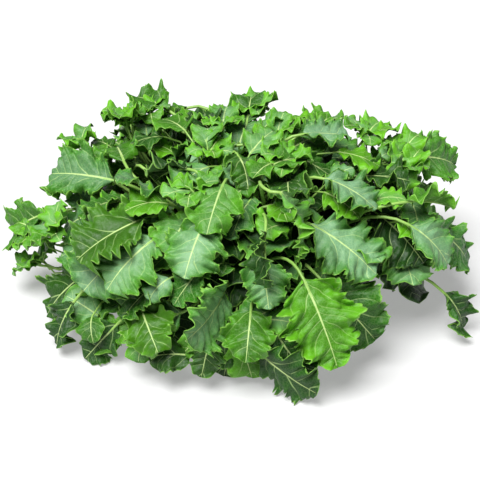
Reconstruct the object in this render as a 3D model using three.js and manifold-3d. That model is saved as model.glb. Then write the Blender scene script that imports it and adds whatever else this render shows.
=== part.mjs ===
// A bunch of frilly, lobed kale, cut at the foot and set down on its cut ends.
//
// Fifteen leafy stems stand close together: one in the middle, five round it and nine outside
// those. Every stem carries long-stalked leaves. The stalks rise and fan out inside, and the blades
// spread over the outside as one wide, shaggy mound, whose lowest leaves hang down all round.
//
// Sizes are millimetres. +Z is up, -Y is the front, and the origin is where the middle stem's cut
// end meets the surface. A place on the mound is given by two angles:
//   lean     away from the upright
//   bearing  round the upright, from +X towards +Y
// Every leaf tries a few places and tilts near its own, and keeps the first in which its blade
// stands clear of the leaves that are already there.
import * as THREE from 'three';
import { mergeVertices } from 'three/addons/utils/BufferGeometryUtils.js';
import Module from 'manifold-3d';

const wasm = await Module();
wasm.setup();

const degree = Math.PI / 180;

// Driving dimensions of the mound
const moundHalf = new THREE.Vector3(268, 234, 222); // to the middles of the outermost blades
const fullness = 2.4; // 2 for an ellipsoid, and more for fuller corners
// How far the rim reaches at each bearing, in degrees, as a share of the even mound
const rimReach = [
  [-180, 0.99], [-160, 0.9], [-149, 0.94], [-136, 0.9], [-118, 0.88], [-101, 0.91], [-84, 0.9], [-67, 0.97],
  [-40, 0.8], [-21, 1.03], [-6, 1.02], [20, 1], [45, 0.87], [75, 0.93], [120, 1], [144, 1.05], [162, 0.92],
  [180, 0.99],
];
// How far down the leaves go at each bearing: the lean of the lowest ones, both in degrees
const skirtLean = [
  [-180, 66], [-168, 68], [-158, 72], [-148, 82], [-57, 82], [-46, 62], [-30, 62], [-20, 76], [-6, 72],
  [14, 72], [40, 78], [140, 80], [165, 72], [180, 66],
];
const leafCount = 106;
const topLean = 8 * degree;
const goldenAngle = 137.508 * degree;
const drawSeed = 4;
const mostTries = 60;
const mostTurn = 60 * degree; // that a blade swings from its way outwards

// The leaves that stand out from the rest, with the middle of each blade on the mound's skin.
// rise lifts it off the skin, as a share, turn swings it round its own face, and front turns that
// face towards the front.
const showyLeaves = [
  { lean: 67, bearing: -66, length: 112, rise: 0.04, turn: 0, front: 0 },
  { lean: 50, bearing: -45, length: 100, rise: 0.04, turn: 15, front: 0 },
  { lean: 31, bearing: -104, length: 85, rise: 0.04, turn: 0, front: 0 },
  { lean: 44, bearing: -109, length: 86, rise: 0.03, turn: 0, front: 0 },
  { lean: 54, bearing: -131, length: 90, rise: 0.03, turn: -10, front: 0 },
  { lean: 54, bearing: -81, length: 64, rise: 0.02, turn: 0, front: 0 },
  { lean: 82, bearing: -69, length: 92, rise: 0, turn: 0, front: 0 },
  { lean: 73, bearing: -84, length: 78, rise: 0, turn: 0, front: 0 },
  { lean: 78, bearing: -101, length: 48, rise: 0, turn: 0, front: 0 },
  { lean: 72, bearing: -6, length: 84, rise: 0.04, turn: 0, front: 0.4 },
  { lean: 62, bearing: -22, length: 74, rise: 0.02, turn: 0, front: 0.3 },
  { lean: 82, bearing: -21, length: 64, rise: 0.03, turn: -10, front: 0.4 },
  { lean: 62, bearing: 20, length: 84, rise: 0.14, turn: 0, front: 0.9 },
  { lean: 72, bearing: 176, length: 74, rise: 0.1, turn: 0, front: 0.5 },
  { lean: 84, bearing: -136, length: 66, rise: 0, turn: 0, front: 0 },
  { lean: 81, bearing: -149, length: 64, rise: 0, turn: 0, front: 0 },
  { lean: 40, bearing: 131, length: 64, rise: 0.08, turn: 0, front: 0.5 },
  { lean: 29, bearing: 84, length: 64, rise: 0.06, turn: 0, front: 0.6 },
  { lean: 43, bearing: 53, length: 64, rise: 0.06, turn: 0, front: 0.6 },
  { lean: 27, bearing: 13, length: 64, rise: 0.03, turn: 0, front: 0 },
  { lean: 38, bearing: -29, length: 76, rise: 0.03, turn: 0, front: 0 },
  { lean: 67, bearing: -43, length: 62, rise: -0.04, turn: 0, front: 0 },
];

// Driving dimensions of a leaf
const bladeLengthLarge = 104;
const bladeLengthYoung = 80;
const bladeWidthShare = 0.42; // half the width, as a share of the length
const stalkHalfWidth = 2;
const midribHalfThickness = 0.8;
const edgeHalfThickness = 0.42;
const bladeStations = [0, 0.13, 0.29, 0.45, 0.61, 0.77, 0.91, 1];
const stalkSegments = 3;
const spareThickness = 0.5; // kept free on each side of a leaf
const surfaceClearance = 0.8;

// The stems: how many stand in each ring, where they are cut and where they end
const rings = [
  {
    name: 'centre', stems: 1, upTo: 22 * degree,
    footRadius: 0, crownRadius: 0, crownHeight: 74, footHalfWidth: 6,
  },
  {
    name: 'inner', stems: 5, upTo: 48 * degree,
    footRadius: 30, crownRadius: 37, crownHeight: 70, footHalfWidth: 5.5,
  },
  {
    name: 'outer', stems: 9, upTo: 180 * degree,
    footRadius: 68, crownRadius: 76, crownHeight: 52, footHalfWidth: 5,
  },
];
const stemSides = 8;
const crownShare = 0.72; // a stem's width at its crown, as a share of that at its foot
const lowestStart = 0.5; // how far up its stem the lowest leaf begins

const upright = new THREE.Vector3(0, 0, 1);
const smoothStep = (x) => {
  const t = Math.min(1, Math.max(0, x));
  return t * t * (3 - 2 * t);
};
const mix = (a, b, t) => a + (b - a) * t;
const towards = (bearing) => new THREE.Vector3(Math.cos(bearing), Math.sin(bearing), 0);

// The same even draw from 0 to 1 every time, one for each leaf, try and use
const draw = (leaf, attempt, use) => {
  const s = Math.sin(leaf * 127.1 + attempt * 74.7 + use * 311.7 + drawSeed) * 43758.5453;
  return s - Math.floor(s);
};

const turnBetween = (a, b) => {
  const d = (a - b) % (2 * Math.PI);
  return d > Math.PI ? d - 2 * Math.PI : d < -Math.PI ? d + 2 * Math.PI : d;
};

const stems = rings.flatMap((ring, r) =>
  Array.from({ length: ring.stems }, (_, i) => ({
    name: ring.stems === 1 ? `leafy_stem_${ring.name}` : `leafy_stem_${ring.name}_${i + 1}`,
    ring,
    bearing: ((i + 0.5 * (r % 2)) / ring.stems) * 2 * Math.PI,
    leaves: 0,
  })));

// The value that a table round the mound has at one bearing
function atBearing(table, bearing) {
  const turned = turnBetween(bearing, 0) / degree;
  const i = table.findIndex(([from], n) => n > 0 && turned <= from);
  const [[from, before], [to, after]] = [table[i - 1], table[i]];
  return mix(before, after, smoothStep((turned - from) / (to - from)));
}

// Where the mound's skin lies in a direction, and the way it faces there
function moundPoint(lean, bearing) {
  const way = towards(bearing).multiplyScalar(Math.sin(lean)).addScaledVector(upright, Math.cos(lean));
  const shares = way.toArray().map((w, i) => Math.abs(w / moundHalf.getComponent(i)));
  const size = shares.reduce((sum, share) => sum + share ** fullness, 0) ** (-1 / fullness);
  const facing = new THREE.Vector3(...way.toArray().map((w, i) =>
    (Math.sign(w) * shares[i] ** (fullness - 1)) / moundHalf.getComponent(i))).normalize();
  return { point: way.multiplyScalar(size * mix(1, atBearing(rimReach, bearing), Math.sin(lean))), facing };
}

// One try at leaf k: where its blade lies and which way it faces and points
function leafTry(k, attempt) {
  const showy = showyLeaves[k];
  const looseness = showy ? attempt / 15 : 1 + attempt / 25;
  const swing = (use, size) => size * (2 * draw(k, attempt, use) - 1) * looseness;
  const rank = (k - showyLeaves.length + 0.5) / (leafCount - showyLeaves.length);
  const ownBearing = showy ? showy.bearing * degree : k * goldenAngle;
  const lowest = atBearing(skirtLean, ownBearing) * degree;
  const ownLean = showy ? showy.lean * degree : Math.acos(mix(Math.cos(topLean), Math.cos(lowest), rank));
  const lean = Math.min(ownLean + swing(1, 3 * degree), 84 * degree);
  const bearing = ownBearing + swing(2, 9 * degree);
  const { point, facing } = moundPoint(lean, bearing);
  const middle = point.multiplyScalar((showy ? 1 + showy.rise : 0.93) + swing(3, 0.08));
  const normal = facing.addScaledVector(upright, 0.3);
  if (showy) normal.addScaledVector(towards(-Math.PI / 2), showy.front);
  normal.normalize();
  const heading = towards(bearing).addScaledVector(upright, -0.25);
  heading.addScaledVector(normal, -heading.dot(normal)).normalize();
  const turn = Math.max(-mostTurn, Math.min(mostTurn, swing(4, 38 * degree)));
  heading.applyAxisAngle(normal, (showy ? showy.turn * degree : 0) + turn);
  heading.applyAxisAngle(heading.clone().cross(normal), swing(5, 24 * degree));
  normal.applyAxisAngle(heading, swing(6, 30 * degree));
  const side = heading.clone().cross(normal).normalize();
  normal.copy(side).cross(heading).normalize();
  const grown = mix(bladeLengthYoung, bladeLengthLarge, smoothStep(rank / 0.35));
  const usual = grown * mix(0.62, 1.1, draw(k, 0, 7));
  const length = (showy ? showy.length : usual) * (1 - attempt / 300);
  const ring = rings.find((r) => lean < r.upTo);
  const away = (s) => Math.abs(turnBetween(bearing, s.bearing));
  const stem = stems.filter((s) => s.ring === ring).reduce((a, b) => (away(a) < away(b) ? a : b));
  return {
    stem,
    middle,
    heading,
    normal,
    side,
    length,
    half: length * bladeWidthShare * mix(0.86, 1.1, draw(k, 0, 8)),
    bow: mix(22, 62, draw(k, attempt, 9)) * degree,
    cup: mix(-9, 12, draw(k, attempt, 10)),
    ripple: mix(3, 7, draw(k, attempt, 11)),
    phase: 2 * Math.PI * draw(k, attempt, 12),
    lobeDepth: mix(0.14, 0.36, draw(k, 0, 13)),
    taper: mix(0.78, 1.25, draw(k, 0, 14)),
  };
}

// Half the width of a blade, as a share of its widest: broadest before or past the middle, as its
// taper has it, with a lobe at every other station
function bladeOutline(station, leaf) {
  const u = bladeStations[station];
  if (station === 0) return 0.07;
  const body = Math.max(0.24, Math.sin(Math.PI * Math.min(1, u ** leaf.taper)) ** 0.55);
  return station % 2 || u > 0.9 ? body : body * (1 - leaf.lobeDepth);
}

// A point of a blade's midrib, with the way it runs and faces there
function bladeFrame(leaf, u) {
  const turn = leaf.bow * (u - 0.5);
  const radius = leaf.length / leaf.bow;
  return {
    point: leaf.middle.clone()
      .addScaledVector(leaf.heading, radius * Math.sin(turn))
      .addScaledVector(leaf.normal, -radius * (1 - Math.cos(turn))),
    along: leaf.heading.clone().multiplyScalar(Math.cos(turn)).addScaledVector(leaf.normal, -Math.sin(turn)),
    up: leaf.normal.clone().multiplyScalar(Math.cos(turn)).addScaledVector(leaf.heading, Math.sin(turn)),
  };
}

// The stalk, from inside the stem up and over into the foot of the blade
function stalkCurve(leaf, start) {
  const foot = bladeFrame(leaf, 0);
  const span = foot.point.distanceTo(start);
  const rise = towards(leaf.stem.bearing).multiplyScalar(0.35).add(upright).normalize();
  return new THREE.CubicBezierCurve3(
    start,
    start.clone().addScaledVector(rise, 0.38 * span),
    foot.point.clone().addScaledVector(foot.along, -0.36 * span),
    foot.point,
  );
}

// One leaf as rings of six points: left edge, midrib and right edge, above and below
function leafRings(leaf, start, spare = 0) {
  const curve = stalkCurve(leaf, start);
  const stations = [];
  for (let i = 0; i < stalkSegments; i += 1) {
    const t = i / stalkSegments;
    const along = curve.getTangent(t);
    const across = leaf.side.clone().addScaledVector(along, -leaf.side.dot(along)).normalize();
    stations.push({
      point: curve.getPoint(t),
      across,
      up: across.clone().cross(along),
      half: stalkHalfWidth + spare,
      rib: stalkHalfWidth + spare,
      edge: stalkHalfWidth * 0.5 + spare,
      lifts: [0, 0],
    });
  }
  bladeStations.forEach((u, i) => {
    const { point, up } = bladeFrame(leaf, u);
    const open = bladeOutline(i, leaf);
    stations.push({
      point,
      across: leaf.side,
      up,
      half: leaf.half * open + spare,
      rib: mix(stalkHalfWidth * 0.8, midribHalfThickness, smoothStep(u * 2)) + spare,
      edge: edgeHalfThickness + spare,
      lifts: [
        open * (leaf.cup + leaf.ripple * Math.sin(u * 12 + leaf.phase)),
        open * (leaf.cup + leaf.ripple * Math.sin(u * 10 - leaf.phase)),
      ],
    });
  });
  return stations.map((s) => {
    const at = (across, up) => s.point.clone().addScaledVector(s.across, across).addScaledVector(s.up, up);
    return [
      at(-s.half, s.lifts[0] + s.edge), at(0, s.rib), at(s.half, s.lifts[1] + s.edge),
      at(s.half, s.lifts[1] - s.edge), at(0, -s.rib), at(-s.half, s.lifts[0] - s.edge),
    ];
  });
}

const stemAxis = (stem, t) =>
  towards(stem.bearing)
    .multiplyScalar(mix(stem.ring.footRadius, stem.ring.crownRadius, smoothStep(t)))
    .setZ(stem.ring.crownHeight * t);

// A stem as level rings round its axis, flat at the cut end
function stemRings(stem) {
  return [0, 0.35, 0.7, 1].map((t) => {
    const half = stem.ring.footHalfWidth * mix(1, crownShare, t);
    const axis = stemAxis(stem, t);
    return Array.from({ length: stemSides }, (_, i) =>
      axis.clone().addScaledVector(towards((i / stemSides) * 2 * Math.PI), half));
  });
}

// Skins a row of rings and closes both ends. Where slopes[j] is 1, the faces between points j and
// j + 1 are split along the other diagonal, so that a thin blade is split alike above and below.
function skin(ringList, slopes) {
  const n = ringList[0].length;
  const positions = ringList.flat().flatMap((p) => [p.x, p.y, p.z]);
  const faces = [];
  for (let i = 0; i + 1 < ringList.length; i += 1) {
    for (let j = 0; j < n; j += 1) {
      const [a, b] = [i * n + j, i * n + ((j + 1) % n)];
      const [c, d] = [b + n, a + n];
      if (slopes && slopes[j]) faces.push(a, b, d, b, c, d);
      else faces.push(a, b, c, a, c, d);
    }
  }
  const last = (ringList.length - 1) * n;
  for (let j = 1, k = n - 1; j < k; j += 1, k -= 1) {
    const [a, b] = [j - 1, k];
    faces.push(a, b, j, last + a, last + j, last + b);
    if (k - j > 1) faces.push(j, b, k - 1, last + j, last + k - 1, last + b);
  }
  const geometry = new THREE.BufferGeometry();
  geometry.setAttribute('position', new THREE.Float32BufferAttribute(positions, 3));
  geometry.setIndex(faces);
  return geometry;
}

function toSolid(geometry) {
  const merged = mergeVertices(geometry, 1e-4);
  const solid = new wasm.Manifold(new wasm.Mesh({
    numProp: 3,
    vertProperties: merged.attributes.position.array,
    triVerts: new Uint32Array(merged.index.array),
  }));
  if (solid.volume() > 0) return solid;
  throw new Error('a skin is inside out');
}

// The largest shell alone: a hollow that the joining sealed is filled, and a loose scrap is dropped
const largestShell = (solid) =>
  solid.decompose().reduce((a, b) => (a.volume() > b.volume() ? a : b));

function toGeometry(solid) {
  const mesh = solid.getMesh();
  const geometry = new THREE.BufferGeometry();
  geometry.setAttribute('position', new THREE.BufferAttribute(mesh.vertProperties, 3));
  geometry.setIndex(new THREE.BufferAttribute(mesh.triVerts, 1));
  return geometry;
}

const bladeSlopes = [0, 1, 0, 0, 1, 0];

// What stands so far: the stems first, then leaf after leaf
const standing = [];
const stand = (stem, solid) => standing.push({ stem, solid, box: solid.boundingBox() });
for (const stem of stems) stand(stem, toSolid(skin(stemRings(stem))));

const boxesMeet = (a, b) => [0, 1, 2].every((i) => a.min[i] < b.max[i] && b.min[i] < a.max[i]);
function meets(solid, others) {
  const box = solid.boundingBox();
  return others.some((other) => boxesMeet(box, other.box) && !solid.intersect(other.solid).isEmpty());
}

function standsClear(leaf, start) {
  const ringList = leafRings(leaf, start, spareThickness);
  if (ringList.flat().some((p) => p.z < surfaceClearance)) return false;
  const outer = toSolid(skin(ringList.slice(1), bladeSlopes));
  if (meets(outer, standing)) return false;
  const inner = toSolid(skin(ringList.slice(0, 2), bladeSlopes));
  return !meets(inner, standing.filter((s) => s.stem !== leaf.stem));
}

function grow(k) {
  for (let attempt = 0; attempt < mostTries; attempt += 1) {
    const leaf = leafTry(k, attempt);
    const start = stemAxis(leaf.stem, mix(0.96, lowestStart, (leaf.stem.leaves % 6) / 5));
    if (standsClear(leaf, start)) {
      leaf.stem.leaves += 1;
      stand(leaf.stem, toSolid(skin(leafRings(leaf, start), bladeSlopes)));
      return;
    }
  }
}
for (let k = 0; k < leafCount; k += 1) grow(k);

const kaleGreen = new THREE.Color(0.2, 0.42, 0.12);

const bunch = new THREE.Group();
for (const stem of stems) {
  const pieces = standing.filter((s) => s.stem === stem).map((s) => s.solid);
  const solid = pieces.reduce((a, b) => a.add(b));
  const mesh = new THREE.Mesh(
    toGeometry(largestShell(solid)),
    new THREE.MeshStandardMaterial({ color: kaleGreen, roughness: 0.6, metalness: 0 }),
  );
  mesh.name = stem.name;
  bunch.add(mesh);
}

export default bunch;
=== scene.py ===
# Kale bunch: fifteen leafy stems with frilly, toothed leaves, on a pale studio floor.
# Lengths in the dictionaries are millimetres; Blender works in metres.
import math

import bmesh
import bpy
from mathutils import Euler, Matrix, Quaternion, Vector, noise
from mathutils.bvhtree import BVHTree
from mathutils.kdtree import KDTree


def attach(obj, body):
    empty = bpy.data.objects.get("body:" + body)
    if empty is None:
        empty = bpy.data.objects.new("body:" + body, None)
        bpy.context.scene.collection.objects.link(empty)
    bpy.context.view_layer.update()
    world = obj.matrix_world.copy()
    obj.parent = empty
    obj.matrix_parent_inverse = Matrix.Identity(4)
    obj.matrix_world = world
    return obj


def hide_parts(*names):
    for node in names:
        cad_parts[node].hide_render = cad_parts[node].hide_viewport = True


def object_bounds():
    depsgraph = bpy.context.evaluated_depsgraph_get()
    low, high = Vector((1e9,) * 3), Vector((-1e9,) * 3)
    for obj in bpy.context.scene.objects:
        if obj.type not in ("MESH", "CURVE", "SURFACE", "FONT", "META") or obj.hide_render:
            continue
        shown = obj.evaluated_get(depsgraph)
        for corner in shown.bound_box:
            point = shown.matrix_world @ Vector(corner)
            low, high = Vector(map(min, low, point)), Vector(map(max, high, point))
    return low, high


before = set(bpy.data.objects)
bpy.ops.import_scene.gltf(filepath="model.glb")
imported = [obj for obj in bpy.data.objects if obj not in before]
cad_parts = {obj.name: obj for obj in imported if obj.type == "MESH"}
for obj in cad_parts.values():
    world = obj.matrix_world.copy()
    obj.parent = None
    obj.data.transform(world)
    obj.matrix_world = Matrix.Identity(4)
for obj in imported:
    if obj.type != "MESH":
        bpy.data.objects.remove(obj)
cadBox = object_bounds()
mm = 0.001
print("frame loaded")


def smoothStep(x):
    t = min(1.0, max(0.0, x))
    return t * t * (3 - 2 * t)


def mix(a, b, t):
    return a + (b - a) * t


def towards(bearing):
    return Vector((math.cos(bearing), math.sin(bearing), 0))


# The bunch grows by the same rule as its solids.
mound = {
    "half": (268, 234, 222),
    "fullness": 2.4,
    "leafCount": 106,
    "topLean": 8,
    "goldenAngle": math.radians(137.508),
    "drawSeed": 4,
    "mostTries": 60,
}
# how far the rim reaches at each bearing, in degrees, as a share of the even mound
rimReach = [
    (-180, 0.99), (-160, 0.9), (-149, 0.94), (-136, 0.9), (-118, 0.88), (-101, 0.91), (-84, 0.9),
    (-67, 0.97), (-40, 0.8), (-21, 1.03), (-6, 1.02), (20, 1), (45, 0.87), (75, 0.93), (120, 1),
    (144, 1.05), (162, 0.92), (180, 0.99),
]
# the lean of the lowest leaves at each bearing, both in degrees
skirtLean = [
    (-180, 66), (-168, 68), (-158, 72), (-148, 82), (-57, 82), (-46, 62), (-30, 62), (-20, 76),
    (-6, 72), (14, 72), (40, 78), (140, 80), (165, 72), (180, 66),
]

# The leaves that stand out: lean and bearing of the blade's middle, length, lift off the skin, turn and
# how far the face turns to the front, then colour and painted light, from 0 for dark green with painted
# shade to 1 for a blue-green bloom with a painted highlight, and youth, up to 1 for a bright young leaf.
showyLeaves = [
    (67, -66, 112, 0.04, 0, 0, 0.5, 0.7),
    (50, -45, 100, 0.04, 15, 0, 0.95, 0.1),
    (31, -104, 85, 0.04, 0, 0, 0.6, 0.5),
    (44, -109, 86, 0.03, 0, 0, 0.95, 0.25),
    (54, -131, 90, 0.03, -10, 0, 0.85, 0.3),
    (54, -81, 64, 0.02, 0, 0, 0.8, 0.2),
    (82, -69, 92, 0, 0, 0, 0.15, 0),
    (73, -84, 78, 0, 0, 0, 0.3, 0.35),
    (78, -101, 48, 0, 0, 0, 0.1, 0.1),
    (72, -6, 84, 0.04, 0, 0.4, 0.6, 0),
    (62, -22, 74, 0.02, 0, 0.3, 0.9, 0.1),
    (82, -21, 64, 0.03, -10, 0.4, 0.2, 0),
    (62, 20, 84, 0.14, 0, 0.9, 0.55, 0.25),
    (72, 176, 74, 0.1, 0, 0.5, 0.3, 0.2),
    (84, -136, 66, 0, 0, 0, 0.15, 0),
    (81, -149, 64, 0, 0, 0, 0.1, 0),
    (40, 131, 64, 0.08, 0, 0.5, 0.3, 0.2),
    (29, 84, 64, 0.06, 0, 0.6, 0.3, 0.1),
    (43, 53, 64, 0.06, 0, 0.6, 0.4, 0.5),
    (27, 13, 64, 0.03, 0, 0, 0.9, 0),
    (38, -29, 76, 0.03, 0, 0, 0.9, 0),
    (67, -43, 62, -0.04, 0, 0, 0.15, 0),
]

# How far a leaf's tries stray from its own place and way, then the spans that its shape is drawn from.
growth = {
    "triesToLoosen": 25,
    "showyTriesToLoosen": 15,
    "triesToVanish": 300,
    "leanStray": math.radians(3),
    "mostLean": math.radians(84),
    "bearingStray": math.radians(9),
    "depth": 0.93,
    "depthStray": 0.08,
    "faceUp": 0.3,
    "pointDown": 0.25,
    "turnStray": math.radians(38),
    "mostTurn": math.radians(60),
    "dipStray": math.radians(24),
    "rollStray": math.radians(30),
    "grownAtRank": 0.35,
    "lengthSpan": (0.62, 1.1),
    "halfSpan": (0.86, 1.1),
    "bowSpan": (22, 62),
    "cupSpan": (-9, 12),
    "rippleSpan": (3, 7),
    "lobeSpan": (0.14, 0.36),
    "taperSpan": (0.78, 1.25),
    "crinkleSpan": (0.7, 1.35),
    "mostYouth": 0.5,
}

blade = {
    "lengthLarge": 104,
    "lengthYoung": 80,
    "widthShare": 0.42,
    "stalkHalfWidth": 2,
    "edgeHalfThickness": 0.42,
    "stations": [0, 0.13, 0.29, 0.45, 0.61, 0.77, 0.91, 1],
    "lobeStations": (1, 3, 5, 7),
    "lobesEnd": 0.9,
    "roundness": 0.55,
    "footOpening": 0.07,
    "leastOpening": 0.24,
    "rippleTurns": {-1: 12, 1: 10},
}

rings = [
    {"name": "centre", "stems": 1, "upTo": 22,
     "footRadius": 0, "crownRadius": 0, "crownHeight": 74, "footHalf": 6},
    {"name": "inner", "stems": 5, "upTo": 48,
     "footRadius": 30, "crownRadius": 37, "crownHeight": 70, "footHalf": 5.5},
    {"name": "outer", "stems": 9, "upTo": 180,
     "footRadius": 68, "crownRadius": 76, "crownHeight": 52, "footHalf": 5},
]
crownShare = 0.72
# leaves part from a stem at six levels, from just under its crown down to half way
leafLevels = 6
highestStart = 0.96
lowestStart = 0.5
upright = Vector((0, 0, 1))
# how far apart two corners may be and still count as one, in metres
sameCorner = 0.00003


def draw(leaf, attempt, use):
    # the same even draw from 0 to 1 every time, and each use has its own number
    s = math.sin(leaf * 127.1 + attempt * 74.7 + use * 311.7 + mound["drawSeed"]) * 43758.5453
    return s - math.floor(s)


def turnBetween(a, b):
    d = (a - b) % (2 * math.pi)
    return d - 2 * math.pi if d > math.pi else d


stems = []
for r, ring in enumerate(rings):
    for i in range(ring["stems"]):
        stems.append({
            "name": "leafy_stem_" + ring["name"] + ("_%d" % (i + 1) if ring["stems"] > 1 else ""),
            "ring": ring,
            "bearing": (i + 0.5 * (r % 2)) / ring["stems"] * 2 * math.pi,
            "grown": [],
            "young": [],
        })


def atBearing(table, bearing):
    # the value that a table round the mound has at one bearing
    turned = math.degrees(turnBetween(bearing, 0))
    i = next(n for n in range(1, len(table)) if turned <= table[n][0])
    (low, before), (high, after) = table[i - 1], table[i]
    return mix(before, after, smoothStep((turned - low) / (high - low)))


def moundPoint(lean, bearing):
    # where the mound's skin lies in a direction, and the way it faces there
    way = towards(bearing) * math.sin(lean) + upright * math.cos(lean)
    shares = [abs(w / h) for w, h in zip(way, mound["half"])]
    power = mound["fullness"]
    size = sum(share ** power for share in shares) ** (-1 / power)
    facing = Vector([
        math.copysign(share ** (power - 1), w) / h for share, w, h in zip(shares, way, mound["half"])])
    return way * (size * mix(1, atBearing(rimReach, bearing), math.sin(lean))), facing.normalized()


def stemFor(lean, bearing):
    ring = next(r for r in rings if lean < math.radians(r["upTo"]))
    near = [s for s in stems if s["ring"] is ring]
    return min(near, key=lambda s: abs(turnBetween(bearing, s["bearing"])))


def leafTry(k, attempt):
    # one try at leaf k: where its blade lies, which way it faces and points, and its shape
    if k < len(showyLeaves):
        shownLean, shownBearing, length, lift, shownTurn, front, tone, youth = showyLeaves[k]
        looseness = attempt / growth["showyTriesToLoosen"]
        ownLean = math.radians(shownLean)
        ownBearing = math.radians(shownBearing)
        rise = 1 + lift
        turn = math.radians(shownTurn)
    else:
        rank = (k - len(showyLeaves) + 0.5) / (mound["leafCount"] - len(showyLeaves))
        looseness = 1 + attempt / growth["triesToLoosen"]
        ownBearing = k * mound["goldenAngle"]
        top = math.cos(math.radians(mound["topLean"]))
        lowest = math.cos(math.radians(atBearing(skirtLean, ownBearing)))
        ownLean = math.acos(mix(top, lowest, rank))
        length = mix(blade["lengthYoung"], blade["lengthLarge"], smoothStep(rank / growth["grownAtRank"]))
        length *= mix(*growth["lengthSpan"], draw(k, 0, 7))
        rise = growth["depth"]
        turn = 0
        front = 0
        tone = draw(k, 0, 40)
        youth = growth["mostYouth"] * draw(k, 0, 41) ** 2

    def stray(use, size):
        return size * (2 * draw(k, attempt, use) - 1) * looseness

    lean = min(ownLean + stray(1, growth["leanStray"]), growth["mostLean"])
    bearing = ownBearing + stray(2, growth["bearingStray"])
    point, facing = moundPoint(lean, bearing)
    middle = point * (rise + stray(3, growth["depthStray"]))
    normal = (facing + upright * growth["faceUp"] + towards(-math.pi / 2) * front).normalized()
    heading = towards(bearing) - upright * growth["pointDown"]
    heading = (heading - normal * heading.dot(normal)).normalized()
    turn += max(-growth["mostTurn"], min(growth["mostTurn"], stray(4, growth["turnStray"])))
    heading.rotate(Quaternion(normal, turn))
    heading.rotate(Quaternion(heading.cross(normal), stray(5, growth["dipStray"])))
    normal.rotate(Quaternion(heading, stray(6, growth["rollStray"])))
    side = heading.cross(normal).normalized()
    normal = side.cross(heading).normalized()
    length *= 1 - attempt / growth["triesToVanish"]
    return {
        "k": k,
        "stem": stemFor(lean, bearing),
        "middle": middle,
        "heading": heading,
        "normal": normal,
        "side": side,
        "length": length,
        "half": length * blade["widthShare"] * mix(*growth["halfSpan"], draw(k, 0, 8)),
        "bow": math.radians(mix(*growth["bowSpan"], draw(k, attempt, 9))),
        "cup": mix(*growth["cupSpan"], draw(k, attempt, 10)),
        "ripple": mix(*growth["rippleSpan"], draw(k, attempt, 11)),
        "phase": 2 * math.pi * draw(k, attempt, 12),
        "lobeDepth": mix(*growth["lobeSpan"], draw(k, 0, 13)),
        "taper": mix(*growth["taperSpan"], draw(k, 0, 14)),
        "crinkle": mix(*growth["crinkleSpan"], draw(k, 0, 42)),
        "tone": tone,
        "youth": youth,
    }


def bladeBody(u, taper):
    return max(0.0, math.sin(math.pi * min(1.0, u ** taper))) ** blade["roundness"]


def bladeOutline(station, leaf):
    # half the width of a solid blade, as a share of its widest, with a lobe at every other station
    u = blade["stations"][station]
    if station == 0:
        return blade["footOpening"]
    body = max(blade["leastOpening"], bladeBody(u, leaf["taper"]))
    return body if station % 2 or u > blade["lobesEnd"] else body * (1 - leaf["lobeDepth"])


def bladeFrame(leaf, u):
    # a point of the midrib, with the way it runs and faces there
    turn = leaf["bow"] * (u - 0.5)
    radius = leaf["length"] / leaf["bow"]
    c, s = math.cos(turn), math.sin(turn)
    point = leaf["middle"] + leaf["heading"] * (radius * s) - leaf["normal"] * (radius * (1 - c))
    return point, leaf["heading"] * c - leaf["normal"] * s, leaf["normal"] * c + leaf["heading"] * s


def edgeLift(leaf, u, way):
    # how far an edge rises above the midrib; way is -1 on the left and 1 on the right
    return leaf["cup"] + leaf["ripple"] * math.sin(u * blade["rippleTurns"][way] - way * leaf["phase"])


def edgePoints(leaf):
    # corners of the solid blade, where it is widest
    found = []
    for station in blade["lobeStations"]:
        u = blade["stations"][station]
        point, along, up = bladeFrame(leaf, u)
        opened = bladeOutline(station, leaf)
        for way in (-1, 1):
            lift = opened * edgeLift(leaf, u, way) + blade["edgeHalfThickness"]
            found.append((point + leaf["side"] * (way * leaf["half"] * opened) + up * lift) * mm)
    return found


def stemAxis(stem, t):
    ring = stem["ring"]
    flat = towards(stem["bearing"]) * mix(ring["footRadius"], ring["crownRadius"], smoothStep(t))
    return flat + upright * (ring["crownHeight"] * t)


# every leaf stands at the first try whose corners are those of a solid leaf
corners = {}
for stem in stems:
    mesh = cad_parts[stem["name"]].data
    tree = KDTree(len(mesh.vertices))
    for v in mesh.vertices:
        tree.insert(v.co, v.index)
    tree.balance()
    corners[stem["name"]] = tree

for k in range(mound["leafCount"]):
    for attempt in range(mound["mostTries"]):
        leaf = leafTry(k, attempt)
        stem = leaf["stem"]
        tree = corners[stem["name"]]
        if all(tree.find(p)[2] < sameCorner for p in edgePoints(leaf)):
            level = len(stem["grown"]) % leafLevels
            leaf["start"] = stemAxis(stem, mix(highestStart, lowestStart, level / (leafLevels - 1)))
            stem["grown"].append(leaf)
            break
print("leaves found:", sum(len(s["grown"]) for s in stems), "of", mound["leafCount"])


# The teeth along a margin: each has its tip past the middle, with smaller ones between. Most curl up,
# and some down.
teeth = {
    "pitch": 9,
    "smallLeafPitch": 1.25,
    "drift": 0.6,
    "driftTurns": 9,
    "tip": 0.6,
    "depth": 8.4,
    "smallLeafPower": 1.4,
    "base": 0.4,
    "usualSize": 0.62,
    "sizeSwing": 0.38,
    "smallSize": 0.3,
    "smallPerTooth": 2.4,
    "curl": 6.5,
    "curlPower": 6,
    "curlDownShare": 0.35,
}
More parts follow.
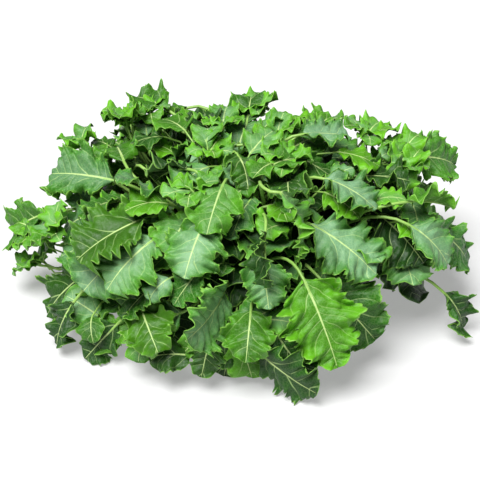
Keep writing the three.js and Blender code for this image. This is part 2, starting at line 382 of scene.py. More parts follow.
# A blade is pleated between its side veins, frilled along its margin and crumpled all over. Each
# relief grows from the midrib to the margin by its power: the higher, the nearer to the margin.
frill = {
    "grid": (72, 20),
    "grownLength": 90,
    "smallLeafWaves": 0.6,
    "smallLeafVeins": 0.55,
    "notchPower": 1.6,
    "notchesEnd": 5,
    "uneven": 0.16,
    "unevenLength": 19,
    "fadeIn": 0.16,
    "fadeOut": 0.08,
    "fadeEnd": 1.02,
    "leastHalf": 0.5,
    "crowding": 0.8,
    "frillLength": 14,
    "frillHeight": 4.6,
    "frillPower": 4,
    "frillDrift": 1.6,
    "frillDriftLength": 23,
    "waveLength": 32,
    "waveLengthSpan": (0.75, 1.15),
    "waveHeight": 7,
    "waveHeightSpan": (0.6, 1.3),
    "wavePower": 2.2,
    "pleat": 5.6,
    "pleatPower": 1.6,
    "quilt": 1.6,
    "quiltPower": 0.7,
    "groove": 0.9,
    "grooveHalf": 2.6,
    "crumple": 6.5,
    "crumpleLength": 15,
    "fineCrumple": 2.3,
    "sweep": 0.06,
    "veinSpacing": 17,
    "veinSpacingSpan": (0.85, 1.2),
    "veinSlope": 0.62,
    "veinBend": 0.004,
    "veinDrift": 0.34,
    "veinDriftTurns": 1.9,
    "ribHalf": 1.6,
    "ribTip": 0.2,
    "smallLeafRib": 0.35,
    "thickness": 0.6,
    "lowest": 0.9,
}
bladeLayers = ("rib", "vein", "edge", "tone", "youth")


def grownShare(leaf):
    # small leaves have fewer and shallower teeth, frills and grooves
    return min(1.0, leaf["length"] / frill["grownLength"])


def outlineAt(leaf, u):
    # the solid blade's outline with round lobes and narrower gaps between them
    stations = blade["stations"]
    i = max(j for j in range(len(stations) - 1) if stations[j] <= u or j == 0)
    index = i + (u - stations[i]) / (stations[i + 1] - stations[i])
    notch = (0.5 + 0.5 * math.cos(math.pi * index)) ** frill["notchPower"]
    depth = leaf["lobeDepth"] * notch if index < frill["notchesEnd"] else 0
    opened = bladeBody(u, leaf["taper"]) * (1 - depth)
    return max(blade["footOpening"] * (1 - u), opened)


def toothAt(leaf, u, way):
    # how far a tooth stands out, from 0 to about 1, and which tooth it is
    k = leaf["k"]
    pitch = teeth["pitch"] * mix(teeth["smallLeafPitch"], 1, grownShare(leaf))
    drift = teeth["drift"] * math.sin(u * teeth["driftTurns"] + k + way)
    phase = u * (leaf["length"] / pitch) + drift + draw(k, 0, 20 + way)
    t = phase % 1.0
    tip = teeth["tip"]
    saw = t / tip if t < tip else (1 - t) / (1 - tip)
    size = teeth["usualSize"] + teeth["sizeSwing"] * math.sin(math.floor(phase) * 2.4 + k * 1.7 + way)
    small = 0.5 + 0.5 * math.cos(2 * math.pi * teeth["smallPerTooth"] * phase)
    return (1 - (1 - saw) ** 3) * size + teeth["smallSize"] * grownShare(leaf) * small, phase


def bladeLevel(leaf, u):
    # the blade at one level: its frame, how fully it is frilled there, and both of its edges
    grown = grownShare(leaf)
    opened = outlineAt(leaf, u)
    fade = smoothStep(u / frill["fadeIn"]) * smoothStep((frill["fadeEnd"] - u) / frill["fadeOut"])
    unevenLength = frill["unevenLength"] * mix(frill["smallLeafWaves"], 1, grown)
    edges = []
    for way in (-1, 1):
        tooth, phase = toothAt(leaf, u, way)
        bulge = noise.noise(Vector((u * leaf["length"] / unevenLength, 9 * way, leaf["k"] * 1.3)))
        width = leaf["half"] * opened * (1 + frill["uneven"] * bulge)
        width += teeth["depth"] * grown ** teeth["smallLeafPower"] * (tooth - teeth["base"]) * fade
        edges.append((max(width, frill["leastHalf"]), opened * edgeLift(leaf, u, way), tooth, phase))
    return (*bladeFrame(leaf, u), fade, edges)


def growBlade(bm, leaf, rows, columns, layers):
    made = bmesh.ops.create_grid(bm, x_segments=columns, y_segments=rows, size=1)["verts"]
    k = leaf["k"]
    length = leaf["length"]
    grown = grownShare(leaf)
    curly = grown * leaf["crinkle"]
    shorter = mix(frill["smallLeafWaves"], 1, grown)
    spacing = frill["veinSpacing"] * mix(frill["smallLeafVeins"], 1, grown)
    spacing *= mix(*frill["veinSpacingSpan"], draw(k, 0, 35))
    starts = [2 * math.pi * draw(k, 0, 30 + i) for i in range(2)]
    waveLength = frill["waveLength"] * mix(*frill["waveLengthSpan"], draw(k, 0, 33)) * shorter
    waveHeight = frill["waveHeight"] * mix(*frill["waveHeightSpan"], draw(k, 0, 34)) * curly
    frillLength = frill["frillLength"] * shorter
    levels = {}
    for v in made:
        acrossShare = v.co.x
        u = (v.co.y + 1) / 2
        row = round(u * rows)
        if row not in levels:
            levels[row] = bladeLevel(leaf, u)
        point, along, up, fade, edges = levels[row]
        i = 0 if acrossShare < 0 else 1
        width, lift, tooth, phase = edges[i]
        # a is 0 at the midrib and 1 at the margin, x lies across the blade and s along it
        a = abs(acrossShare) ** frill["crowding"]
        x = math.copysign(a * width, acrossShare)
        s = u * length
        veinDrift = frill["veinDrift"] * math.sin(frill["veinDriftTurns"] * s / spacing + starts[i])
        veinPhase = s / spacing + veinDrift + 0.5 * i
        veinPhase -= (frill["veinSlope"] * abs(x) + frill["veinBend"] * x * x) / spacing
        puff = math.sin(math.pi * veinPhase) ** 2
        z = lift * a
        z += frill["quilt"] * grown * puff * (4 * a * (1 - a)) ** frill["quiltPower"]
        z += frill["pleat"] * curly * (puff - 0.5) * a ** frill["pleatPower"] * fade
        z += waveHeight * a ** frill["wavePower"] * fade * math.sin(2 * math.pi * s / waveLength + starts[i])
        frillDrift = frill["frillDrift"] * math.sin(s / frill["frillDriftLength"] + k)
        z += frill["frillHeight"] * curly * a ** frill["frillPower"] * fade * math.sin(
            2 * math.pi * s / frillLength + starts[1 - i] + frillDrift)
        curlWay = 1 if draw(k, int(phase), 36) > teeth["curlDownShare"] else -1
        z += teeth["curl"] * grown ** 2 * a ** teeth["curlPower"] * fade * (tooth - 0.5) * curlWay
        z -= frill["groove"] * grown * math.exp(-(x / frill["grooveHalf"]) ** 2)
        crumpled = Vector((x / frill["crumpleLength"], s / frill["crumpleLength"], k * 3.1))
        fine = 0.5 * noise.noise(crumpled * frill["fineCrumple"])
        z += frill["crumple"] * curly * a * (noise.noise(crumpled) + fine)
        forward = length * frill["sweep"] * a * a * (1 - u)
        place = point + along * forward + leaf["side"] * x + up * z
        place.z = max(place.z, frill["lowest"])
        v.co = place * mm
        ribHalf = frill["ribHalf"] * mix(1, frill["ribTip"], u) * mix(frill["smallLeafRib"], 1, grown)
        v[layers["rib"]] = abs(x) / ribHalf
        v[layers["vein"]] = veinPhase
        v[layers["edge"]] = a
        v[layers["tone"]] = leaf["tone"]
        v[layers["youth"]] = leaf["youth"]


# A stalk rises from its stem, arches over and runs on under the blade as its midrib.
stalk = {
    "outwards": 0.35,
    "rise": 0.38,
    "approach": 0.36,
    "archMargin": 8,
    "archPress": 0.7,
    "footShare": 1.25,
    "ribSteps": 6,
    "ribReach": 0.9,
    "tipShare": 0.15,
    "taper": 0.8,
    "sinkBy": 0.4,
    "grown": {"widthShare": 0.95, "steps": 12},
    "young": {"widthShare": 0.55, "steps": 7},
}
archTop = cadBox[1][2] / mm - stalk["archMargin"]


def stalkPath(leaf, steps, width):
    foot, along, up = bladeFrame(leaf, 0)
    start = leaf["start"]
    span = (foot - start).length
    rise = (towards(leaf["stem"]["bearing"]) * stalk["outwards"] + upright).normalized()
    a, b = start, start + rise * (stalk["rise"] * span)
    c, d = foot - along * (stalk["approach"] * span), foot
    path = []
    for i in range(steps):
        t = i / steps
        q = 1 - t
        point = a * q ** 3 + b * (3 * q * q * t) + c * (3 * q * t * t) + d * t ** 3
        # an arch stays about as low as the solid stalk, which cuts its corner
        above = max(0, point.z - archTop)
        point.z -= stalk["archPress"] * above
        path.append((point, mix(stalk["footShare"], 1, t)))
    for i in range(stalk["ribSteps"] + 1):
        # it sinks to the blade's underside and tapers towards the tip
        t = i / stalk["ribSteps"]
        u = stalk["ribReach"] * i / stalk["ribSteps"]
        point, along, up = bladeFrame(leaf, u)
        share = mix(1, stalk["tipShare"], t ** stalk["taper"])
        depth = frill["groove"] * grownShare(leaf) + width * share * smoothStep(u / stalk["sinkBy"])
        path.append((point - up * depth, share))
    return path


def toLinear(code):
    parts = [int(code[i:i + 2], 16) / 255 for i in (1, 3, 5)]
    return [c / 12.92 if c <= 0.04045 else ((c + 0.055) / 1.055) ** 2.4 for c in parts] + [1.0]


def addNode(material, kind, settings=None, links=None):
    # settings are the node's own options or its inputs, and links are sockets for its inputs
    node = material.node_tree.nodes.new(kind)
    for name, value in (settings or {}).items():
        if isinstance(name, str) and hasattr(node, name):
            setattr(node, name, value)
        else:
            node.inputs[name].default_value = value
    for name, socket in (links or {}).items():
        material.node_tree.links.new(node.inputs[name], socket)
    return node


def newMaterial(name):
    material = bpy.data.materials.new(name)
    material.use_nodes = True
    material.node_tree.nodes.clear()
    return material


# Living kale leaf: a thin waxy bloom over green, so a soft broad sheen, blue-green in the middle,
# yellower towards the margin and with a thin pale rim, and pale veins that sink between the pleats.
# The blue-green bloom is partly a painted highlight and the dark green partly painted shade; the
# yellower margin is partly painted light shining through it, and the pale rim is painted light on the edge.
kaleLeaf = {
    "centre": "#175306",
    # the yellower margin is partly the leaf's own colour, partly painted light shining through the thin
    # blade
    "margin": "#307803",
    # the pale rim is painted light catching the thin edge
    "rim": "#8fc650",
    "bloomAndHighlight": "#84b088",
    # the dark green is partly the leaves' own tone, partly painted shade
    "deepToneAndShade": "#072800",
    "young": "#68b312",
    "vein": "#b7d688",
    "midrib": "#c6df90",
    "under": "#3f7024",
    "underMargin": "#4a861c",
    "cloudLength": 17,
    "netCell": 3.4,
    "grainLength": 1.1,
    "puckerLength": 7,
    "sheenTint": "#d5ecd0",
    "netShare": 0.17,
    "sideVeinShare": 0.55,
    "midribShare": 0.78,
    "bloomAndHighlightShare": 0.85,
    "deepToneAndShadeShare": 0.85,
    "paintedRimLightShare": 0.7,
    "reliefHeight": 0.6,
    "puckerHeight": 6.0,
    "bumpStrength": 0.6,
    "roughness": 0.46,
    "underRoughness": 0.56,
}


def leafMaterial(name, under):
    material = newMaterial(name)
    read = {}
    for layer in bladeLayers:
        read[layer] = addNode(material, "ShaderNodeAttribute", {"attribute_name": layer}).outputs["Fac"]
    place = addNode(material, "ShaderNodeTexCoord").outputs["Object"]
    cloud = addNode(
        material, "ShaderNodeTexNoise",
        {"Scale": 1000 / kaleLeaf["cloudLength"], "Detail": 5.0, "Roughness": 0.6},
        {"Vector": place}).outputs["Fac"]
    grain = addNode(
        material, "ShaderNodeTexNoise", {"Scale": 1000 / kaleLeaf["grainLength"], "Detail": 2.0},
        {"Vector": place}).outputs["Fac"]
    cells = addNode(
        material, "ShaderNodeTexVoronoi",
        {"feature": "DISTANCE_TO_EDGE", "Scale": 1000 / kaleLeaf["netCell"]},
        {"Vector": place}).outputs["Distance"]
    net = addNode(
        material, "ShaderNodeMapRange", {"From Min": 0.0, "From Max": 0.11, "To Min": 1.0, "To Max": 0.0},
        {"Value": cells}).outputs[0]
    # side veins lie where the vein phase is whole, and fade towards the margin
    toVein = addNode(
        material, "ShaderNodeMath", {"operation": "PINGPONG", 1: 0.5}, {0: read["vein"]}).outputs[0]
    veinLine = addNode(
        material, "ShaderNodeMapRange", {"From Min": 0.012, "From Max": 0.05, "To Min": 1.0, "To Max": 0.0},
        {"Value": toVein}).outputs[0]
    veinFade = addNode(
        material, "ShaderNodeMapRange", {"From Min": 0.1, "From Max": 1.0, "To Min": 1.0, "To Max": 0.15},
        {"Value": read["edge"]}).outputs[0]
    sideVein = addNode(
        material, "ShaderNodeMath", {"operation": "MULTIPLY"}, {0: veinLine, 1: veinFade}).outputs[0]
    midrib = addNode(
        material, "ShaderNodeMapRange",
        {"From Min": 0.6, "From Max": 1.3, "To Min": kaleLeaf["midribShare"], "To Max": 0.0},
        {"Value": read["rib"]}).outputs[0]
    # towards the margin, in uneven patches
    outerShare = addNode(
        material, "ShaderNodeMath", {"operation": "POWER", 1: 1.8}, {0: read["edge"]}).outputs[0]
    outer = addNode(
        material, "ShaderNodeMath", {"operation": "MULTIPLY_ADD", 1: 0.9},
        {0: cloud, 2: outerShare}).outputs[0]
    outer = addNode(
        material, "ShaderNodeMapRange", {"From Min": 0.42, "From Max": 1.3, "To Min": 0.0, "To Max": 1.0},
        {"Value": outer}).outputs[0]
    inner = addNode(
        material, "ShaderNodeMapRange", {"From Min": 0.0, "From Max": 1.0, "To Min": 1.0, "To Max": 0.1},
        {"Value": outer}).outputs[0]
    # blue-green bloom on high-toned leaves, kept off the margin: partly their own waxy bloom, partly a
    # painted highlight on the upper leaves
    bloomAndHighlightByTone = addNode(
        material, "ShaderNodeMapRange",
        {"From Min": 0.5, "From Max": 1.0, "To Min": 0.0, "To Max": kaleLeaf["bloomAndHighlightShare"]},
        {"Value": read["tone"]}).outputs[0]
    bloomAndHighlight = addNode(material, "ShaderNodeMath", {"operation": "MULTIPLY"}, {0: bloomAndHighlightByTone, 1: inner}).outputs[0]
    # dark green on low-toned leaves: partly their own darker tone, partly painted shade on the lowest and
    # innermost leaves
    deepToneAndShade = addNode(
        material, "ShaderNodeMapRange",
        {"From Min": 0.0, "From Max": 0.5, "To Min": kaleLeaf["deepToneAndShadeShare"], "To Max": 0.0},
        {"Value": read["tone"]}).outputs[0]
    # a thin pale rim at the very margin: painted light catching the thin edge
    rim = addNode(
        material, "ShaderNodeMapRange",
        {"From Min": 0.93, "From Max": 1.0, "To Min": 0.0, "To Max": kaleLeaf["paintedRimLightShare"]},
        {"Value": read["edge"]}).outputs[0]
    netFaint = addNode(
        material, "ShaderNodeMath", {"operation": "MULTIPLY", 1: kaleLeaf["netShare"]}, {0: net}).outputs[0]
    veinFaint = addNode(
        material, "ShaderNodeMath", {"operation": "MULTIPLY", 1: kaleLeaf["sideVeinShare"]},
        {0: sideVein}).outputs[0]
    # the yellower margin is partly the leaf's own colour, partly painted light shining through the thin
    # blade
    ground = ("under", "underMargin") if under else ("centre", "margin")
    colour = addNode(
        material, "ShaderNodeMix",
        {"data_type": "RGBA", 6: toLinear(kaleLeaf[ground[0]]), 7: toLinear(kaleLeaf[ground[1]])},
        {0: outer}).outputs[2]
    fresh = addNode(
        material, "ShaderNodeMapRange", {"From Min": 0.0, "From Max": 1.0, "To Min": 0.45, "To Max": 1.0},
        {"Value": outer}).outputs[0]
    fresh = addNode(
        material, "ShaderNodeMath", {"operation": "MULTIPLY"}, {0: fresh, 1: read["youth"]}).outputs[0]
    coats = [(netFaint, "vein"), (deepToneAndShade, "deepToneAndShade"), (fresh, "young"), (rim, "rim")]
    coats += [(veinFaint, "vein"), (midrib, "midrib")]
    if not under:
        coats.insert(0, (bloomAndHighlight, "bloomAndHighlight"))
    for share, coat in coats:
        colour = addNode(
            material, "ShaderNodeMix", {"data_type": "RGBA", 7: toLinear(kaleLeaf[coat])},
            {0: share, 6: colour}).outputs[2]
    # the veins sink on top and stand out underneath
    relief = kaleLeaf["reliefHeight"] * (1 if under else -1)
    height = addNode(
        material, "ShaderNodeMath", {"operation": "MULTIPLY_ADD", 1: relief}, {0: net, 2: grain}).outputs[0]
    height = addNode(
        material, "ShaderNodeMath", {"operation": "MULTIPLY_ADD", 1: 2 * relief},
        {0: sideVein, 2: height}).outputs[0]
    pucker = addNode(
        material, "ShaderNodeTexNoise", {"Scale": 1000 / kaleLeaf["puckerLength"], "Detail": 1.0},
        {"Vector": place}).outputs["Fac"]
    height = addNode(
        material, "ShaderNodeMath", {"operation": "MULTIPLY_ADD", 1: kaleLeaf["puckerHeight"]},
        {0: pucker, 2: height}).outputs[0]
    bump = addNode(
        material, "ShaderNodeBump", {"Strength": kaleLeaf["bumpStrength"], "Distance": 0.0004},
        {"Height": height})
    shader = addNode(material, "ShaderNodeBsdfPrincipled", {
        "Roughness": kaleLeaf["underRoughness" if under else "roughness"],
        "IOR": 1.42,
        "Specular IOR Level": 0.5,
        "Sheen Weight": 0.08,
        "Sheen Roughness": 0.4,
        "Sheen Tint": toLinear(kaleLeaf["sheenTint"]),
    }, {"Base Color": colour, "Normal": bump.outputs["Normal"]})
    addNode(material, "ShaderNodeOutputMaterial", links={"Surface": shader.outputs["BSDF"]})
    return material


# Smooth, juicy leaf stalk: pale green with faint streaks and a soft gloss.
stalkFinish = {
    "pale": "#abd070",
    "green": "#6a9d38",
    "streak": "#83ad50",
    "cloudLength": 22,
    "streakLength": 2.4,
}


def stalkMaterial():
    material = newMaterial("kale_stalk")
    place = addNode(material, "ShaderNodeTexCoord").outputs["Object"]
    cloud = addNode(
        material, "ShaderNodeTexNoise", {"Scale": 1000 / stalkFinish["cloudLength"], "Detail": 2.0},
        {"Vector": place}).outputs["Fac"]
    streak = addNode(
        material, "ShaderNodeTexNoise", {"Scale": 1000 / stalkFinish["streakLength"], "Detail": 2.0},
        {"Vector": place}).outputs["Fac"]
    colour = addNode(
        material, "ShaderNodeMix",
        {"data_type": "RGBA", 6: toLinear(stalkFinish["pale"]), 7: toLinear(stalkFinish["green"])},
        {0: cloud}).outputs[2]
    streakShare = addNode(
        material, "ShaderNodeMapRange", {"From Min": 0.4, "From Max": 0.7, "To Min": 0.0, "To Max": 0.5},
        {"Value": streak}).outputs[0]
    colour = addNode(
        material, "ShaderNodeMix", {"data_type": "RGBA", 7: toLinear(stalkFinish["streak"])},
        {0: streakShare, 6: colour}).outputs[2]
    bump = addNode(material, "ShaderNodeBump", {"Strength": 0.25, "Distance": 0.0003}, {"Height": streak})
    shader = addNode(
        material, "ShaderNodeBsdfPrincipled", {"Roughness": 0.38, "IOR": 1.42},
        {"Base Color": colour, "Normal": bump.outputs["Normal"]})
    addNode(material, "ShaderNodeOutputMaterial", links={"Surface": shader.outputs["BSDF"]})
    return material


# Freshly cut stem: moist, pale and slightly fibrous.
cutFinish = {"pith": "#e3ebbd", "fibre": "#c5d796", "fibreLength": 0.7}


def cutEndMaterial():
    material = newMaterial("kale_cut_end")
    place = addNode(material, "ShaderNodeTexCoord").outputs["Object"]
    fleck = addNode(
        material, "ShaderNodeTexNoise", {"Scale": 1000 / cutFinish["fibreLength"], "Detail": 3.0},
        {"Vector": place}).outputs["Fac"]
    colour = addNode(
        material, "ShaderNodeMix",
        {"data_type": "RGBA", 6: toLinear(cutFinish["pith"]), 7: toLinear(cutFinish["fibre"])},
        {0: fleck}).outputs[2]
    bump = addNode(material, "ShaderNodeBump", {"Strength": 0.3, "Distance": 0.0003}, {"Height": fleck})
    shader = addNode(
        material, "ShaderNodeBsdfPrincipled", {"Roughness": 0.5, "IOR": 1.4},
        {"Base Color": colour, "Normal": bump.outputs["Normal"]})
    addNode(material, "ShaderNodeOutputMaterial", links={"Surface": shader.outputs["BSDF"]})
    return material


leafTop = leafMaterial("kale_leaf_top", False)
leafUnder = leafMaterial("kale_leaf_underside", True)
stalkGreen = stalkMaterial()
cutEnd = cutEndMaterial()
print("materials ready")


# Small curly leaves stand in the gaps between the large ones, and darker ones further in, whose dark green
# is painted shade. The spans are what their measures are drawn from.
young = {
    "firstKey": 1000,
    "grid": (20, 6),
    "innerGrid": (10, 5),
    "depths": [(0.86, 1.02), (0.62, 0.82), (0.4, 0.6)],
    "count": 330,
    "tries": 14,
    "leanSpan": (3, 86),
    "clearance": 7,
    "apart": 22,
    "lowest": 26,
    "start": 0.94,
    "faceUpSpan": (0.2, 1.2),
    "pointDown": 0.15,
    "mostTurn": math.radians(75),
    "dipSpan": (-15, 35),
    "lengthSpan": (34, 60),
    "innerGrowth": 1.35,
    "bowSpan": (30, 95),
    "crinkle": 1.1,
    "halfSpan": (0.4, 0.52),
    "cupSpan": (-3, 8),
    "rippleSpan": (2, 4),
    "lobeSpan": (0, 0.14),
    "taperSpan": (0.8, 1.25),
    "innerShadeTone": 0.1,
    "youthPower": 1.5,
}

everything = bmesh.new()
for stem in stems:
    everything.from_mesh(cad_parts[stem["name"]].data)
solidTree = BVHTree.FromBMesh(everything)
everything.free()


def youngLeaf(key, stem, middle, heading, normal, shape):
    side = heading.cross(normal).normalized()
    leaf = {
        "k": key,
        "stem": stem,
        "start": stemAxis(stem, young["start"]),
        "middle": middle,
        "heading": heading,
        "normal": side.cross(heading).normalized(),
        "side": side,
        "half": shape["length"] * mix(*young["halfSpan"], draw(key, 0, 8)),
        "cup": mix(*young["cupSpan"], draw(key, 0, 10)),
        "ripple": mix(*young["rippleSpan"], draw(key, 0, 11)),
        "phase": 2 * math.pi * draw(key, 0, 12),
        "lobeDepth": mix(*young["lobeSpan"], draw(key, 0, 13)),
        "taper": mix(*young["taperSpan"], draw(key, 0, 14)),
    }
    leaf.update(shape)
    stem["young"].append(leaf)


youngMiddles = []


def growYoung(key, attempt, inner, depths):
    # one try at a young leaf, which stands only where there is room for it
    steepest, flattest = (math.cos(math.radians(lean)) for lean in young["leanSpan"])
    lean = math.acos(mix(steepest, flattest, draw(key, attempt, 1)))
    bearing = 2 * math.pi * draw(key, attempt, 2)
    point, facing = moundPoint(lean, bearing)
    middle = point * mix(*depths, draw(key, attempt, 3))
    tooLow = math.degrees(lean) > atBearing(skirtLean, bearing) or middle.z < young["lowest"]
    if tooLow or solidTree.find_nearest(middle * mm)[3] / mm < young["clearance"]:
        return False
    if any((middle - other).length < young["apart"] for other in youngMiddles):
        return False
    youngMiddles.append(middle)
    normal = (facing + upright * mix(*young["faceUpSpan"], draw(key, 0, 4))).normalized()
    heading = towards(bearing) - upright * young["pointDown"]
    heading = (heading - normal * heading.dot(normal)).normalized()
    heading.rotate(Quaternion(normal, young["mostTurn"] * (2 * draw(key, 0, 5) - 1)))
    dip = math.radians(mix(*young["dipSpan"], draw(key, 0, 6)))
    heading.rotate(Quaternion(heading.cross(normal), dip))
    length = mix(*young["lengthSpan"], draw(key, 0, 7))
    youngLeaf(key, stemFor(lean, bearing), middle, heading, normal, {
        "length": length * (young["innerGrowth"] if inner else 1),
        "bow": math.radians(mix(*young["bowSpan"], draw(key, 0, 9))),
        "crinkle": young["crinkle"],
        "grid": young["innerGrid"] if inner else young["grid"],
        # leaves further in get a low tone: painted shade of dark green
        "tone": young["innerShadeTone"] * draw(key, 0, 40) if inner else draw(key, 0, 40),
        "youth": 0 if inner else draw(key, 0, 41) ** young["youthPower"],
    })
    return True


for j in range(young["count"]):
    depth = j % len(young["depths"])
    for attempt in range(young["tries"]):
        if growYoung(young["firstKey"] + j, attempt, depth > 0, young["depths"][depth]):
            break

# Growing tips: tight, curly clusters of bright young leaves on the mound's skin, each given as
# lean, bearing and distance out as a share of the skin's.
growingTips = {
    "firstKey": 2000,
    "keysApart": 10,
    "leaves": 5,
    "rollSpan": (-0.1, 0.9),
    "lengthSpan": (28, 44),
    "bowSpan": (50, 110),
    "crinkle": 1.5,
    "toneAndPaintedLightSpan": (0.4, 0.9),
    "youthSpan": (0.3, 1),
    "spots": [
        (80, 179, 0.98), (70, 180, 1.02), (64, -171, 1), (10, 177, 0.95), (26, -126, 1), (16, -24, 0.95),
        (52, 9, 1.02), (39, 135, 1.03), (40, 148, 1.02), (30, 81, 1.02), (40, 48, 1.04), (46, 30, 1.05),
        (20, 51, 0.96), (58, 150, 1.05), (52, 18, 1.04), (20, 108, 0.96),
    ],
}
for spot, (lean, bearing, distance) in enumerate(growingTips["spots"]):
    point, facing = moundPoint(math.radians(lean), math.radians(bearing))
    stem = stemFor(math.radians(lean), math.radians(bearing))
    axis = (facing + upright).normalized()
    for i in range(growingTips["leaves"]):
        key = growingTips["firstKey"] + growingTips["keysApart"] * spot + i
        out = axis.orthogonal().normalized()
        out.rotate(Quaternion(axis, 2 * math.pi * (i + 0.5 * draw(key, 0, 1)) / growingTips["leaves"]))
        heading = (out + axis * mix(*growingTips["rollSpan"], draw(key, 0, 2))).normalized()
        length = mix(*growingTips["lengthSpan"], draw(key, 0, 7))
        youngLeaf(key, stem, point * distance + heading * (0.5 * length), heading, axis, {
            "length": length,
            "bow": math.radians(mix(*growingTips["bowSpan"], draw(key, 0, 9))),
            "crinkle": growingTips["crinkle"],
            "grid": young["grid"],
            "tone": mix(*growingTips["toneAndPaintedLightSpan"], draw(key, 0, 40)),
            "youth": mix(*growingTips["youthSpan"], draw(key, 0, 41)),
        })
print("young leaves:", sum(len(s["young"]) for s in stems))


# The pieces of every leafy stem: its blades, its stalks and the stem itself.
stemShape = {"sides": 20, "levels": 8, "swell": 0.12, "swellTurns": 17}


def placeOnBunch(piece, node):
    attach(piece, "root")
    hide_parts(node)


def newObject(name, data, materials):
    piece = bpy.data.objects.new(name, data)
    bpy.context.scene.collection.objects.link(piece)
    for material in materials:
        data.materials.append(material)
    return piece


def makeBlades(stem):
    bm = bmesh.new()
    layers = {name: bm.verts.layers.float.new(name) for name in bladeLayers}
    for leaf in stem["grown"]:
        growBlade(bm, leaf, *frill["grid"], layers)
    for leaf in stem["young"]:
        growBlade(bm, leaf, *leaf["grid"], layers)
    bmesh.ops.remove_doubles(bm, verts=bm.verts, dist=0.02 * mm)
    for face in bm.faces:
        face.smooth = True
    mesh = bpy.data.meshes.new(stem["name"] + "_blades")
    bm.to_mesh(mesh)
    bm.free()
    piece = newObject(stem["name"] + "_blades", mesh, [leafTop, leafUnder])
    skin = piece.modifiers.new("thickness", "SOLIDIFY")
    skin.thickness = frill["thickness"] * mm
    skin.offset = 0
    skin.material_offset = 1
    placeOnBunch(piece, stem["name"])


def makeStalks(stem):
    data = bpy.data.curves.new(stem["name"] + "_stalks", "CURVE")
    data.dimensions = "3D"
    data.bevel_depth = mm
    data.bevel_resolution = 2
    data.use_fill_caps = True
    # each point's radius is in millimetres
    for age in ("grown", "young"):
        width = blade["stalkHalfWidth"] * stalk[age]["widthShare"]
        for leaf in stem[age]:
            path = stalkPath(leaf, stalk[age]["steps"], width)
            spline = data.splines.new("POLY")
            spline.points.add(len(path) - 1)
            for point, (place, share) in zip(spline.points, path):
                point.co = (*(place * mm), 1)
                point.radius = width * share
            spline.use_smooth = True
    piece = newObject(stem["name"] + "_stalks", data, [stalkGreen])
    placeOnBunch(piece, stem["name"])


def makeStem(stem):
    # a round, slightly swelling stem on a flat cut end, drawn up level by level
    bm = bmesh.new()
    sides, levels = stemShape["sides"], stemShape["levels"]
    half = stem["ring"]["footHalf"]
    base = bmesh.ops.create_circle(bm, cap_ends=True, segments=sides, radius=half * mm)["verts"]
    foot = stemAxis(stem, 0)
    bmesh.ops.translate(bm, verts=base, vec=foot * mm)
    cut = base[0].link_faces[0]
    cut.normal_flip()
    cut.material_index = 1
    rim = list(bm.edges)
    last = foot
    share = 1.0
    for i in range(1, levels + 1):
        t = i / levels
        grown = bmesh.ops.extrude_edge_only(bm, edges=rim)["geom"]
        verts = [g for g in grown if isinstance(g, bmesh.types.BMVert)]
        rim = [g for g in grown if isinstance(g, bmesh.types.BMEdge)]
        now = stemAxis(stem, t)
        bmesh.ops.translate(bm, verts=verts, vec=(now - last) * mm)
        swell = 1 + stemShape["swell"] * math.sin(t * stemShape["swellTurns"] + stem["bearing"]) ** 2 * t
        nextShare = mix(1, crownShare, t) * swell
        for v in verts:
            v.co = now * mm + (v.co - now * mm) * (nextShare / share)
        share = nextShare
        last = now
    bmesh.ops.contextual_create(bm, geom=rim)
    bmesh.ops.recalc_face_normals(bm, faces=bm.faces)
    for face in bm.faces:
        face.smooth = face.material_index == 0
    mesh = bpy.data.meshes.new(stem["name"] + "_stem")
    bm.to_mesh(mesh)
    bm.free()
    piece = newObject(stem["name"] + "_stem", mesh, [stalkGreen, cutEnd])
    placeOnBunch(piece, stem["name"])


for stem in stems:
    makeBlades(stem)
    makeStalks(stem)
    makeStem(stem)
print("leafy stems made")


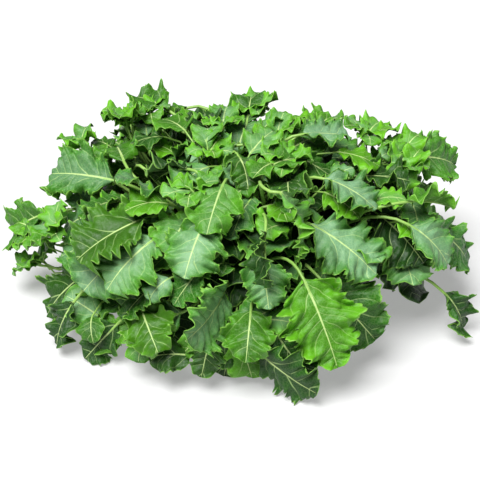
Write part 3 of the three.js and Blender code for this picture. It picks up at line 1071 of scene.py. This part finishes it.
# A pale floor, soft light from above and the camera at the height that the bunch is seen from.
studio = {
    "floorSize": 16.0,
    "floorColour": "#b4b4b4",
    "floorGlow": 0.34,
    "sunStrength": 5.4,
    "sunSpread": math.radians(40),
    "sunFrom": (-0.3, -0.35, 1),
    "worldStrength": 0.12,
}

floorMesh = bpy.data.meshes.new("studio_floor")
bm = bmesh.new()
bmesh.ops.create_grid(bm, x_segments=2, y_segments=2, size=studio["floorSize"] / 2)
bm.to_mesh(floorMesh)
bm.free()
floorMaterial = newMaterial("studio_floor")
# the floor also glows: painted light that pales the shadow under the bunch and lights it from below
floorShader = addNode(
    floorMaterial, "ShaderNodeBsdfPrincipled",
    {"Base Color": toLinear(studio["floorColour"]), "Roughness": 0.8, "Specular IOR Level": 0.0,
     "Emission Color": (1, 1, 1, 1), "Emission Strength": studio["floorGlow"]})
addNode(floorMaterial, "ShaderNodeOutputMaterial", links={"Surface": floorShader.outputs["BSDF"]})
floor = newObject("studio_floor", floorMesh, [floorMaterial])

world = bpy.data.worlds.new("studio")
world.use_nodes = True
world.node_tree.nodes["Background"].inputs["Color"].default_value = (1, 1, 1, 1)
world.node_tree.nodes["Background"].inputs["Strength"].default_value = studio["worldStrength"]
bpy.context.scene.world = world
bpy.context.scene.view_settings.view_transform = "Standard"

sunData = bpy.data.lights.new("soft_sky_light", "SUN")
sunData.energy = studio["sunStrength"]
sunData.angle = studio["sunSpread"]
sun = bpy.data.objects.new("soft_sky_light", sunData)
sun.rotation_euler = Vector(studio["sunFrom"]).to_track_quat("Z", "Y").to_euler()
bpy.context.scene.collection.objects.link(sun)

view = {
    "elevation": 32,
    "distance": 2.1,
    "focal": 124,
    "sensor": 36,
    "aim": (0.0, 0.0, 0.078),
}
cameraData = bpy.data.cameras.new("camera")
cameraData.lens = view["focal"]
cameraData.sensor_width = view["sensor"]
camera = bpy.data.objects.new("camera", cameraData)
tilt = math.radians(view["elevation"])
aim = Vector(view["aim"])
camera.location = aim + Vector((0, -math.cos(tilt), math.sin(tilt))) * view["distance"]
camera.rotation_euler = Euler((math.pi / 2 - tilt, 0, 0))
bpy.context.scene.collection.objects.link(camera)
bpy.context.scene.camera = camera
print("studio ready")

bpy.context.view_layer.update()
